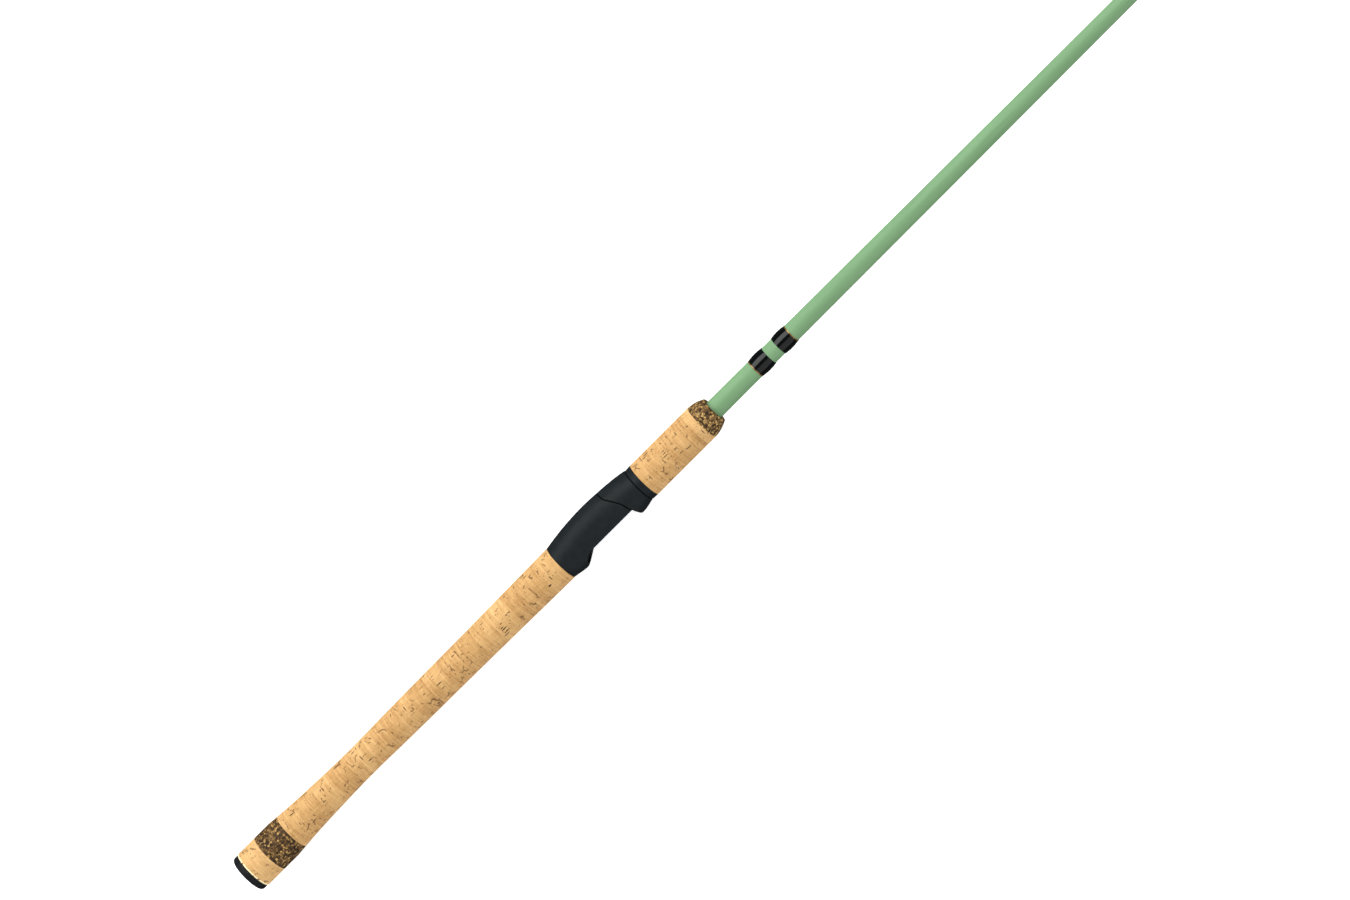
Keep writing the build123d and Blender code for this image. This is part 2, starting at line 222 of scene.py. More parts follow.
def finishMaterial(start, shading, bumps=()):
    # bumps are (height in millimetres, strength) pairs, laid over one another
    normal = None
    for height, strength in bumps:
        values = {"Height": height, "Distance": mm, "Strength": strength}
        if normal:
            values["Normal"] = normal
        normal = start.node("ShaderNodeBump", {}, values)
    if normal:
        shading = {**shading, "Normal": normal}
    surface = start.node("ShaderNodeBsdfPrincipled", {}, shading)
    start.node("ShaderNodeOutputMaterial", {}, {"Surface": surface})


def aroundRod(start, point):
    # distance along the rod and angle round it
    along, y, z = (start.node("ShaderNodeSeparateXYZ", {}, {0: point}, axis) for axis in "XYZ")
    return along, start.maths("ARCTAN2", z, y)


corkLook = {
    "light": tint(218, 178, 120),
    "middle": tint(197, 154, 96),
    "dark": tint(166, 121, 66),
    "pit": tint(62, 38, 16),
    "slot": tint(96, 62, 28),
    # the pale seam line by the cap: glue colour with a painted highlight of the cork's edge in it
    "glueAndGlint": tint(244, 226, 178),
    "seamLineWidth": 0.8,
    "roughness": 0.74,
    "ringShift": (173.0, 61.0, 97.0),
    # tone: stretch along and across the rod, roughness and weight of each kind of grain
    "growth": (0.95, 0.06, 0.7, 1.05),
    "bands": (0.30, 0.05, 0.55, 0.32),
    "rays": (0.07, 0.80, 0.7, 0.42),
    "cloudWeight": 0.50,
    "speckWeight": 0.55,
    "ringWeight": 0.28,
    # pores: stretch along and across, share of cells left empty, size, where they gather, darkness
    "pores": (
        (0.13, 0.85, 0.60, 0.33, 0.54, 1.0),
        (0.85, 0.15, 0.72, 0.32, 0.56, 0.9),
        (0.80, 1.05, 0.70, 0.38, 0.56, 0.9),
    ),
    "crackStretch": (0.16, 0.09, 0.09),
    "crackDepth": 0.75,
}


def naturalCork(seam=None):
    look = corkLook
    material, start, point = newMaterial("natural_cork" if seam is None else "natural_cork_glue_glint")
    seed = start.node("ShaderNodeAttribute", {"attribute_name": "ringSeed"}, {}, "Fac")
    shift = {axis: seed * amount for axis, amount in enumerate(look["ringShift"])}
    local = start.vector("ADD", point, start.node("ShaderNodeCombineXYZ", {}, shift))

    # growth lines lie across the rod and rays along it
    wobbled = start.jostled(local, 0.3, 1.0)
    grains = []
    tone = (seed - 0.5) * look["ringWeight"] + 0.5
    for kind in ("growth", "bands", "rays"):
        lengthwise, across, roughness, weight = look[kind]
        grain = start.noise(start.stretched(wobbled, lengthwise, across, across), 1.0, 2.0, roughness)
        tone = tone + (grain - 0.5) * weight
        grains.append(grain)
    cloud = start.noise(local, 0.14, 4.0, 0.65)
    speck = start.noise(local, 1.1, 3.0, 0.8)
    tone = tone + (cloud - 0.5) * look["cloudWeight"] + (speck - 0.5) * look["speckWeight"]
    colour = tone.ramp((0.10, look["dark"]), (0.5, look["middle"]), (0.90, look["light"]))

    # pores: dark slots along the rod, slots across it, and strings of small pits
    ragged = start.jostled(local, 0.9, 0.7)
    pits = None
    for number, (lengthwise, across, empty, size, gather, darkness) in enumerate(look["pores"]):
        space = start.stretched(ragged, lengthwise, across, across)
        luck = start.pick(space).over(empty, empty + 0.03)
        region = start.noise(local, 0.13 + 0.04 * number, 2.0).over(gather - 0.03, gather + 0.03)
        depth = start.cells(space).over(size, size * 0.6) * luck * region * darkness
        pits = depth if pits is None else start.maths("MAXIMUM", pits, depth)
    colour = pits.colours(colour, look["pit"])

    # a few long thin cracks, wandering across the rod
    crackSpace = start.stretched(start.jostled(local, 0.5, 1.6), *look["crackStretch"])
    crackLuck = start.noise(local, 0.22, 2.0).over(0.57, 0.60)
    crack = start.cells(crackSpace, "DISTANCE_TO_EDGE").over(0.05, 0.02) * crackLuck
    colour = (crack * look["crackDepth"]).colours(colour, look["slot"])

    if seam is not None:
        # a pale line beside the cap, part glue and part a painted highlight on the cork's edge, broken by a
        # dark pit or two
        along = aroundRod(start, point)[0]
        gone = start.noise(point, 0.40, 1.0).over(0.62, 0.66)
        edge = (along - seam).over(look["seamLineWidth"] * 1.2, look["seamLineWidth"] * 0.9)
        colour = (edge * (1.0 - gone) * 0.95).colours(colour, look["glueAndGlint"])
        colour = (edge * gone * 0.8).colours(colour, look["pit"])
    rough = look["roughness"] + (speck - 0.5) * 0.2 + pits * 0.15
    relief = start.noise(local, 1.7, 4.0, 0.65)
    shading = {"Base Color": colour, "Roughness": rough, "Specular IOR Level": 0.45}
    smooth = 1.0 - start.maths("MAXIMUM", pits, crack)
    finishMaterial(start, shading, ((smooth, 0.35), (relief, 0.12), (grains[0], 0.08)))
    return material


burlLook = {
    "matrix": tint(34, 22, 8),
    "brown": tint(82, 56, 25),
    "tan": tint(134, 100, 52),
    "pale": tint(188, 148, 84),
    "cream": tint(228, 192, 124),
    "granule": 1.2,
    "finer": 2.3,  # small granules beside the large
    "drift": 1.5,
}


def burlCork(name="burl_cork", lift=0.0):
    material, start, point = newMaterial(name)
    warped = start.jostled(point, 0.9, burlLook["drift"])
    grain = 1.0 / burlLook["granule"]
    fine = grain * burlLook["finer"]
    space = start.stretched(warped, grain, grain, grain)
    large = start.pick(space)
    small = start.pick(start.stretched(warped, fine, fine, fine), "Green")
    edge = start.cells(space, "DISTANCE_TO_EDGE").over(0.02, 0.16)
    grit = start.noise(point, 3.2, 3.0, 0.7)
    tone = large * 0.62 + small * 0.30 + (grit - 0.5) * 0.45 + lift
    colour = tone.ramp(
        (0.16, burlLook["matrix"]), (0.40, burlLook["brown"]), (0.62, burlLook["tan"]),
        (0.80, burlLook["pale"]), (0.97, burlLook["cream"]),
    )
    colour = (1.0 - edge * 0.75 - 0.25).colours(colour, burlLook["matrix"])
    rough = 0.66 + (grit - 0.5) * 0.3
    shading = {"Base Color": colour, "Roughness": rough, "Specular IOR Level": 0.3}
    finishMaterial(start, shading, ((edge, 0.12), (grit, 0.14)))
    return material


blankLook = {"green": tint(116, 155, 112), "deep": tint(105, 144, 101), "roughness": 0.5, "coat": 0.12}


def greenBlank():
    material, start, point = newMaterial("green_blank")
    drift = start.noise(start.stretched(point, 0.02, 0.3, 0.3), 1.0, 3.0)
    fleck = start.noise(point, 4.5, 2.0, 0.6)
    tone = drift * 0.7 + fleck * 0.3
    colour = tone.ramp((0.3, blankLook["deep"]), (0.7, blankLook["green"]))
    rough = blankLook["roughness"] + (fleck - 0.5) * 0.12
    shading = {
        "Base Color": colour, "Roughness": rough, "Coat Weight": blankLook["coat"], "Coat Roughness": 0.25,
        "Specular IOR Level": 0.3,
    }
    finishMaterial(start, shading, ((start.noise(point, 1.6, 2.0), 0.02),))
    return material


seatLook = {"black": tint(23, 28, 30), "worn": tint(31, 36, 39), "roughness": 0.42}


def seatBlack():
    material, start, point = newMaterial("seat_black")
    cloud = start.noise(point, 0.25, 3.0)
    stipple = start.noise(point, 7.0, 2.0, 0.6)
    colour = (cloud * 0.6 + stipple * 0.3).ramp((0.3, seatLook["black"]), (0.75, seatLook["worn"]))
    rough = seatLook["roughness"] + (stipple - 0.5) * 0.12 + (cloud - 0.5) * 0.06
    shading = {"Base Color": colour, "Roughness": rough, "Specular IOR Level": 0.14}
    finishMaterial(start, shading, ((stipple, 0.015),))
    return material


rubberLook = {"black": tint(17, 20, 22), "dusty": tint(30, 33, 36), "roughness": 0.58}


def blackRubber():
    material, start, point = newMaterial("black_rubber")
    cloud = start.noise(point, 0.4, 4.0)
    grain = start.noise(point, 3.5, 3.0, 0.65)
    colour = (cloud * 0.6 + grain * 0.4).ramp((0.35, rubberLook["black"]), (0.75, rubberLook["dusty"]))
    rough = rubberLook["roughness"] + (grain - 0.5) * 0.2
    shading = {"Base Color": colour, "Roughness": rough, "Specular IOR Level": 0.2}
    finishMaterial(start, shading, ((grain, 0.05),))
    return material


threadLook = {"pitch": 0.22, "black": tint(2, 4, 4), "litCrown": tint(5, 9, 9), "coat": 1.0}


def windings(start, point, pitch):
    # round threads side by side across the rod, 0 in the grooves and 1 on the crowns
    along, angle = aroundRod(start, point)
    turned = along / pitch + angle / (2 * math.pi)
    saw = start.maths("FRACT", turned)
    return saw * (1.0 - saw) * 4.0


def blackThread():
    material, start, point = newMaterial("thread_wrap")
    threads = windings(start, point, threadLook["pitch"])
    fibre = start.noise(start.stretched(point, 9.0, 1.2, 1.2), 1.0, 2.0)
    # the thread crowns are painted lighter and the grooves darker, a painted shade in the grooves, with
    # fibre tone laid over it
    colour = (threads * 0.6 + fibre * 0.4).ramp((0.2, threadLook["black"]), (0.9, threadLook["litCrown"]))
    rough = 0.30 + (fibre - 0.5) * 0.2
    shading = {
        "Base Color": colour, "Roughness": rough, "Coat Weight": threadLook["coat"], "Coat Roughness": 0.03,
        "Specular IOR Level": 0.05,
    }
    finishMaterial(start, shading, ((threads, 0.03),))
    return material


# shade is the darker colour painted into the grooves between the threads, a painted shade
trimLook = {"pitch": 0.23, "gold": tint(190, 154, 88), "shade": tint(108, 82, 42)}


def goldThread():
    material, start, point = newMaterial("trim_thread")
    threads = windings(start, point, trimLook["pitch"])
    fibre = start.noise(start.stretched(point, 8.0, 1.5, 1.5), 1.0, 2.0)
    # the grooves between the threads take the darker shade colour, a painted shade in the grooves, with
    # fibre tone laid over it
    colour = (threads * 0.7 + fibre * 0.3).ramp((0.2, trimLook["shade"]), (0.8, trimLook["gold"]))
    rough = 0.30 + (fibre - 0.5) * 0.2
    shading = {
        "Base Color": colour, "Roughness": rough, "Metallic": 0.75,
        "Coat Weight": 0.8, "Coat Roughness": 0.05,
    }
    finishMaterial(start, shading, ((threads, 0.05),))
    return material


steelLook = {"smoke": tint(52, 54, 58), "bright": tint(84, 87, 92), "roughness": 0.24}


def smokedSteel(name):
    material, start, point = newMaterial(name)
    polish = start.noise(start.stretched(point, 0.6, 2.4, 2.4), 1.0, 4.0)
    scuff = start.noise(point, 5.0, 3.0, 0.7)
    colour = (polish * 0.6 + scuff * 0.4).ramp((0.35, steelLook["smoke"]), (0.7, steelLook["bright"]))
    rough = steelLook["roughness"] + (scuff - 0.5) * 0.22
    shading = {"Base Color": colour, "Roughness": rough, "Metallic": 1.0}
    finishMaterial(start, shading, ((scuff, 0.02),))
    return material


ringLook = {"black": tint(20, 21, 24), "grey": tint(38, 40, 44), "roughness": 0.1}


def ceramic():
    material, start, point = newMaterial("ceramic_ring")
    cloud = start.noise(point, 0.8, 3.0)
    polish = start.noise(point, 6.0, 2.0)
    colour = cloud.ramp((0.35, ringLook["black"]), (0.7, ringLook["grey"]))
    rough = ringLook["roughness"] + (polish - 0.5) * 0.08
    shading = {"Base Color": colour, "Roughness": rough, "Specular IOR Level": 0.6, "Coat Weight": 0.5}
    finishMaterial(start, shading, ((polish, 0.006),))
    return material


arborLook = {"shade": tint(150, 136, 112), "foam": tint(205, 192, 166)}


def arborFoam():
    material, start, point = newMaterial("arbor")
    bubbles = start.cells(start.stretched(point, 2.2, 2.2, 2.2))
    cloud = start.noise(point, 0.8, 3.0)
    colour = (cloud * 0.5 + bubbles * 0.5).ramp((0.2, arborLook["shade"]), (0.8, arborLook["foam"]))
    rough = 0.8 + (cloud - 0.5) * 0.2
    finishMaterial(start, {"Base Color": colour, "Roughness": rough}, ((bubbles, 0.1),))
    return material


materials = {
    "natural_cork": naturalCork(),
    "burl_cork": burlCork(),
    "burl_fore": burlCork("burl_cork_fore", 0.09),
    "green_blank": greenBlank(),
    "seat_black": seatBlack(),
    "black_rubber": blackRubber(),
    "thread_wrap": blackThread(),
    "trim_thread": goldThread(),
    "dark_wire": smokedSteel("dark_wire"),
    "guide_frame": smokedSteel("guide_frame"),
    "ceramic_ring": ceramic(),
    "arbor": arborFoam(),
    "natural_cork_glue_glint": naturalCork(seam=nodeBox("butt_cork_ring")[0].x),
}
print("materials made:", len(materials))


def meshObject(name, build):
    built = bpy.data.meshes.new(name)
    bmesh.ops.recalc_face_normals(build, faces=build.faces)
    build.to_mesh(built)
    build.free()
    piece = bpy.data.objects.new(name, built)
    bpy.context.scene.collection.objects.link(piece)
    return piece


def bridge(build, first, second):
    # faces between two loops of vertices, either of which may be a single one
    count = max(len(first), len(second))
    for i in range(count):
        j = (i + 1) % count
        corners = []
        for loop, k in ((first, i), (first, j), (second, j), (second, i)):
            vertex = loop[k % len(loop)]
            if vertex not in corners:
                corners.append(vertex)
        if len(corners) > 2:
            build.faces.new(corners)


def skinned(build, loops):
    # faces from loop to loop, closed at both ends
    for first, second in zip(loops, loops[1:]):
        bridge(build, first, second)
    build.faces.new(loops[0][::-1])
    build.faces.new(loops[-1])


def addTurned(build, outline, place=None, around=128):
    # a closed outline of (x, radius) points turned about X; a radius of 0 closes it on the axis
    rings = []
    for x, radius in outline:
        steps = around if radius > 1e-6 else 1
        ring = []
        for i in range(steps):
            turn = 2 * math.pi * i / steps
            spot = Vector((x, radius * math.cos(turn), radius * math.sin(turn)))
            ring.append(build.verts.new(place @ spot if place else spot))
        rings.append(ring)
    for first, second in zip(rings, rings[1:] + rings[:1]):
        if len(first) + len(second) > 2:
            bridge(build, first, second)


def softened(outline, radius, steps=5):
    # rounds every corner of a closed outline; points may carry their own radius as a third number
    made = []
    count = len(outline)
    for i in range(count):
        here = Vector(outline[i][:2])
        size = outline[i][2] if len(outline[i]) > 2 else radius
        before = Vector(outline[i - 1][:2]) - here
        after = Vector(outline[(i + 1) % count][:2]) - here
        if size <= 0 or before.length < 1e-6 or after.length < 1e-6 or math.pi - before.angle(after) < 0.2:
            made.append(tuple(here))
            continue
        reach = min(size, before.length * 0.48, after.length * 0.48)
        start, end = here + before.normalized() * reach, here + after.normalized() * reach
        for k in range(steps + 1):
            t = k / steps
            made.append(tuple(start * (1 - t) ** 2 + here * (2 * t * (1 - t)) + end * t * t))
    return made


def turnedPiece(name, outlines, around=128):
    build = bmesh.new()
    for outline in outlines:
        addTurned(build, outline, around=around)
    return meshObject(name, build)


def bake(piece):
    # the piece's mesh with its modifiers applied
    graph = bpy.context.evaluated_depsgraph_get()
    graph.update()
    done = bpy.data.meshes.new_from_object(piece.evaluated_get(graph))
    piece.modifiers.clear()
    piece.data = done


def carve(piece, cutter, operation="DIFFERENCE"):
    step = piece.modifiers.new("carve", "BOOLEAN")
    step.object = cutter
    step.operation = operation
    step.solver = "EXACT"
    bake(piece)
    bpy.data.objects.remove(cutter)


def melt(piece, voxel, smoothing):
    # joins overlapping solids into one skin with soft edges
    step = piece.modifiers.new("melt", "REMESH")
    step.mode = "VOXEL"
    step.voxel_size = voxel
    bake(piece)
    step = piece.modifiers.new("soften", "SMOOTH")
    step.factor = 0.5
    step.iterations = smoothing
    bake(piece)


sharpAngle = math.radians(40.0)


def place(piece, node, material, slotName=None):
    # shrinks the piece to metres, finishes it and hands it to the frame
    piece.data.transform(Matrix.Scale(mm, 4))
    for polygon in piece.data.polygons:
        polygon.use_smooth = True
    piece.data.set_sharp_from_angle(angle=sharpAngle)
    piece.data.materials.clear()
    piece.data.materials.append(materials[material])
    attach(piece, bodyOfNode[node])
    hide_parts(node)


def seedRings(piece, seams, salt):
    # each cork ring gets its own number, which its grain and tone follow
    draw = random.Random(salt)
    seeds = [draw.random() for _ in seams]
    values = piece.data.attributes.new("ringSeed", "FLOAT", "FACE")
    for polygon in piece.data.polygons:
        ring = sum(polygon.center.x > seam for seam in seams[1:])
        values.data[polygon.index].value = seeds[min(ring, len(seeds) - 1)]


capShape = {
    "edgeRound": 2.86, "dishDepth": 0.5, "dishRadius": 0.62, "dishEdge": 0.6,
    "plugRadius": 4.2, "plugLength": 10.0, "gap": 0.02,
}


def buttCap():
    shape = capShape
    low, high = nodeBox("butt_cap")
    ringBack = nodeBox("butt_cork_ring")[0].x
    radius = high.z
    dish, dishEdge = radius * shape["dishRadius"], shape["dishEdge"]
    floor, front = low.x + shape["dishDepth"], ringBack - shape["gap"]
    plug, plugFront = shape["plugRadius"], ringBack + shape["plugLength"]
    outline = softened([
        (floor, 0, 0), (floor, dish - 1.0, dishEdge), (low.x, dish, dishEdge),
        (low.x, radius, shape["edgeRound"]), (front, radius, 0.3), (front, plug, 0), (plugFront, plug, 0.4), (plugFront, 0, 0),
    ], 0, 10)
    place(turnedPiece("butt_cap_turned", [outline], 160), "butt_cap", "black_rubber")


gripShape = {
    "rearRings": 17, "bore": 5.75, "sleeveBore": 9.25, "noseBore": 6.2, "noseEdge": 0.5,
    "seam": 0.09, "step": 1.6, "around": 160,
}


def ringOutline(line, back, front, bore):
    # one ring of a grip with tiny chamfers where it meets its neighbours
    seam = gripShape["seam"]
    count = max(3, round((front - back) / gripShape["step"]))
    skin = []
    for i in range(count + 1):
        x = back + seam + (front - back - 2 * seam) * i / count
        skin.append((x, smoothAt(line, x)))
    return [(back, bore), (back, skin[0][1] - seam), *skin, (front, skin[-1][1] - seam), (front, bore)]


def grips():
    rearLine = skinOf("rear_grip_cork_rings")
    rearCount = gripShape["rearRings"]
    back, front = rearLine[0][0], rearLine[-1][0]
    length = (front - back) / rearCount
    seams = [back + i * length for i in range(rearCount + 1)]
    outlines = [ringOutline(rearLine, *span, gripShape["bore"]) for span in zip(seams, seams[1:])]
    rear = turnedPiece("rear_grip_cork", outlines, gripShape["around"])
    seedRings(rear, seams[:-1], 7)
    place(rear, "rear_grip_cork_rings", "natural_cork")

    for name, node, material, slotName in (
        ("butt_cork", "butt_cork_ring", "natural_cork_glue_glint", "natural_cork"),
        ("butt_burl", "butt_burl_ring", "burl_cork", "burl_cork"),
    ):
        line = skinOf(node)
        outline = ringOutline(line, line[0][0], line[-1][0], gripShape["bore"])
        piece = turnedPiece(name, [outline], gripShape["around"])
        seedRings(piece, [line[0][0]], 23)
        place(piece, node, material, slotName)

    foreLine = skinOf("fore_grip_cork_rings")
    seams = [x for x, radius in foreLine]
    sleeve = nodeBox("hood_nut")[1].x
    outlines = []
    for span in zip(seams, seams[1:]):
        bore = gripShape["sleeveBore" if span[1] <= sleeve + 0.1 else "noseBore"]
        outlines.append(ringOutline(foreLine, *span, bore))
    fore = turnedPiece("fore_grip_cork", outlines, gripShape["around"])
    seedRings(fore, seams[:-1], 41)
    place(fore, "fore_grip_cork_rings", "natural_cork")

    noseLine = skinOf("fore_grip_burl_cap")
    outline = ringOutline(noseLine, noseLine[0][0], noseLine[-1][0], gripShape["noseBore"])
    outline = softened([*outline[:-2], (*outline[-2], gripShape["noseEdge"]), outline[-1]], 0)
    nose = turnedPiece("fore_grip_burl", [outline], gripShape["around"])
    place(nose, "fore_grip_burl_cap", "burl_fore", "burl_cork")


blankShape = {"step": 30.0, "wall": (1.4, 0.45), "around": 96}


def blankPiece():
    back, front = blankSkin[0][0], blankSkin[-1][0]
    stations = [x for x, radius in blankSkin]
    count = round((front - back) / blankShape["step"])
    stations = sorted(set(stations + [back + (front - back) * i / count for i in range(count + 1)]))
    outside = [(x, linearAt(blankSkin, x)) for x in stations]
    inside = []
    for x, radius in outside:
        share = (x - back) / (front - back)
        buttWall, tipWall = blankShape["wall"]
        inside.append((x, radius - buttWall - share * (tipWall - buttWall)))
    piece = turnedPiece("blank_tube", [outside + inside[::-1]], blankShape["around"])
    place(piece, "blank", "green_blank")


buttCap()
grips()
blankPiece()
print("grips, cap and blank made")


# each station: x, height above the axis, depth below it, half width, squareness above and below
seatShape = {
    "stations": (
        (249.2, 11.05, 10.9, 11.0, 2.0, 2.0),
        (257.8, 12.3, 12.2, 11.5, 2.25, 2.9),
        (268.0, 13.3, 12.4, 11.8, 2.5, 3.0),
        (280.0, 13.7, 12.4, 11.9, 2.6, 3.0),
        (292.0, 13.2, 12.4, 11.7, 2.4, 3.0),
        (303.6, 12.2, 12.15, 11.4, 2.15, 2.9),
        (310.6, 11.1, 10.7, 11.0, 2.0, 2.1),
    ),
    "bore": 6.1,
    "platform": -7.1,
    "channel": -6.95,
    "roof": -10.7,
    "lipTop": 257.8,
    "lipReach": -12.6,
    "lipFoot": 266.0,
    "pocket": (255.4, 7.5),
    "toe": (252.0, 6.2, -9.6),
    "corner": 4.2,
    "barrel": (285.0, 352.0, 8.0),
    "thread": (311.5, 2.5, 0.55),
    "keyWay": (290.0, 7.2, 9.0, 1.25),
    "clear": 20.0,  # half the width of a cutter, well past the skin
    "voxel": 0.22,
    "smoothing": 5,
}
hoodShape = {
    "splitTop": 290.6, "splitFoot": 299.6, "gap": 0.6, "lipCrest": 301.6, "front": 310.3, "bore": 8.1,
    "pocketEnd": 304.4, "toeEnd": 308.7, "toeRoof": -9.5, "channel": -2.0, "inside": (280.0, 330.0),
    # rear edge: height, and how far along from the top of the split to its foot
    "wave": ((15.0, 0.0), (12.3, 0.08), (8.2, 0.22), (4.1, 0.50), (-0.2, 0.79), (-3.5, 0.90)),
}


def seatSkin(x, count=176):
    columns = [[(row[0], row[k]) for row in seatShape["stations"]] for k in range(1, 6)]
    top, depth, half, squareAbove, squareBelow = (smoothAt(column, x) for column in columns)
    loop = []
    for i in range(count):
        turn = 2 * math.pi * (i + 0.5) / count
        up, across = math.sin(turn), math.cos(turn)
        power = 2 / (squareAbove if up >= 0 else squareBelow)
        y = math.copysign((top if up >= 0 else depth) * abs(up) ** power, up)
        z = math.copysign(half * abs(across) ** power, across)
        loop.append((x, y, z))
    return loop


def seatForm(name):
    build = bmesh.new()
    back, front = seatShape["stations"][0][0], seatShape["stations"][-1][0]
    count = round(front - back) * 2
    loops = []
    for i in range(count + 1):
        loop = seatSkin(back + (front - back) * i / count)
        loops.append([build.verts.new(spot) for spot in loop])
    skinned(build, loops)
    return meshObject(name, build)


def prism(outline, halfWidth=seatShape["clear"]):
    # (x, y) outline drawn out along Z to both sides
    build = bmesh.new()
    skinned(build, [[build.verts.new((x, y, z)) for x, y in outline] for z in (-halfWidth, halfWidth)])
    return meshObject("cutter", build)


def tunnel(xFrom, xTo, floor, roof, halfWidth, corner):
    # room for the reel foot, with round corners under its roof
    foot = [(floor, -halfWidth, 0), (floor, halfWidth, 0)]
    outline = softened(foot + [(roof, halfWidth, corner), (roof, -halfWidth, corner)], 0, 8)
    build = bmesh.new()
    skinned(build, [[build.verts.new((x, y, z)) for y, z in outline] for x in (xFrom, xTo)])
    return meshObject("cutter", build)


def plug(back, front, radius):
    # a round cutter for a bore
    return turnedPiece("cutter", [[(back, 0), (front, 0), (front, radius), (back, radius)]], 96)


def splitLine(shift, steps=28):
    # wavy rear edge of the moving hood, from above the seat down to the platform
    back, front = hoodShape["splitTop"] + shift, hoodShape["splitFoot"] + shift
    wave = [*hoodShape["wave"], (seatShape["platform"], 1.0)]
    knots = [(-y, back + share * (front - back)) for y, share in wave]
    low, high = knots[0][0], knots[-1][0]
    heights = [low + (high - low) * i / steps for i in range(steps + 1)]
    return [(smoothAt(knots, height), -height) for height in heights]


def behindSplit(shift):
    edge = splitLine(shift)
    far, deep = seatShape["stations"][0][0] - 5, -seatShape["clear"]
    return prism([*edge, (edge[-1][0], deep), (far, deep), (far, edge[0][1])])


def barrelOutline():
    back, front, radius = seatShape["barrel"]
    start, pitch, depth = seatShape["thread"]
    outline = [(back, seatShape["bore"]), (back, radius), (start, radius)]
    groove = start
    while groove + pitch < front - 1:
        outline += [(groove + 0.3 * pitch, radius - depth), (groove + 0.6 * pitch, radius - depth)]
        outline += [(groove + 0.85 * pitch, radius), (groove + pitch, radius)]
        groove += pitch
    return outline + [(front, radius), (front, seatShape["bore"])]


def reelSeat():
    shape, hood = seatShape, hoodShape
    platform, channel, deep = shape["platform"], shape["channel"], -shape["clear"]
    body = seatForm("reel_seat_shell")
    carve(body, behindSplit(-hood["gap"]), "INTERSECT")
    carve(body, prism([
        (shape["lipTop"], deep), (shape["lipTop"], shape["lipReach"]), (shape["lipFoot"], platform),
        (hood["front"], platform), (hood["front"], deep),
    ]))
    carve(body, plug(240, 320, shape["bore"]))
    mouth = shape["lipFoot"] + 0.5
    pocketEnd, pocketHalf = shape["pocket"]
    toeEnd, toeHalf, toeRoof = shape["toe"]
    carve(body, tunnel(pocketEnd, mouth, channel, shape["roof"], pocketHalf, shape["corner"]))
    carve(body, tunnel(toeEnd, pocketEnd + 1, channel, toeRoof, toeHalf, shape["corner"]))

    barrel = turnedPiece("cutter", [barrelOutline()], 128)
    back, front = hood["inside"][0], shape["barrel"][1] + 1
    carve(barrel, prism([(back, channel), (front, channel), (front, -12), (back, -12)]))
    keyBack, keyFoot, keyTop, keyHalf = shape["keyWay"]
    keyOutline = [(keyBack, keyFoot), (front, keyFoot), (front, keyTop), (keyBack, keyTop)]
    carve(barrel, prism(keyOutline, keyHalf))
    carve(body, barrel, "UNION")
    melt(body, shape["voxel"], shape["smoothing"])
    place(body, "reel_seat_body", "seat_black")


def movingHood():
    shape, hood = seatShape, hoodShape
    platform, clear = shape["platform"], shape["clear"]
    body = seatForm("moving_hood_shell")
    carve(body, behindSplit(0))
    foot, crest = hood["splitFoot"], hood["lipCrest"]
    carve(body, prism([
        (foot - 8, -clear), (foot - 8, platform), (foot, platform),
        (crest, shape["lipReach"]), (crest, -clear),
    ]))
    back, front = hood["inside"]
    carve(body, plug(back, front, hood["bore"]))
    pocketHalf, toeHalf = shape["pocket"][1], shape["toe"][1]
    carve(body, tunnel(back, hood["pocketEnd"], hood["channel"], shape["roof"], pocketHalf, shape["corner"]))
    carve(body, tunnel(back, hood["toeEnd"], hood["channel"], hood["toeRoof"], toeHalf, shape["corner"]))
    carve(body, prism([(hood["front"], -clear), (hood["front"], clear), (front, clear), (front, -clear)]))
    melt(body, shape["voxel"], shape["smoothing"])
    place(body, "moving_hood", "seat_black")


nutShape = {"chamfer": 0.5, "groove": 0.35, "bore": 8.1, "sleeve": 9.15, "gap": 0.02}


def hoodNut():
    low, high = nodeBox("hood_nut")
    collar = nodeBox("fore_grip_cork_rings")[0].x
    radius = high.z
    bore, sleeve, face = nutShape["bore"], nutShape["sleeve"], collar - nutShape["gap"]
    outline = softened([
        (low.x, bore, 0), (low.x, radius - 0.15, nutShape["chamfer"]), (collar - 0.9, radius, 0.1),
        (face, radius, nutShape["groove"]), (face, sleeve, 0), (high.x, sleeve, 0), (high.x, bore, 0),
    ], 0)
    place(turnedPiece("hood_nut_collar", [outline], 160), "hood_nut", "seat_black")


reelSeat()
movingHood()
hoodNut()
print("reel seat, hood and nut made")


wrapShape = {
    "cover": 0.35, "edge": 0.35, "gap": 0.01, "footSpread": 58.0, "around": 96, "step": 0.35,
    "trim": 0.22, "trimGap": 0.005,
}


def ringAt(build, x, sizes):
    # a loop of vertices round the rod, one for each radius
    loop = []
    for k, size in enumerate(sizes):
        angle = 2 * math.pi * k / len(sizes)
        loop.append(build.verts.new((x, size * math.cos(angle), size * math.sin(angle))))
    return loop


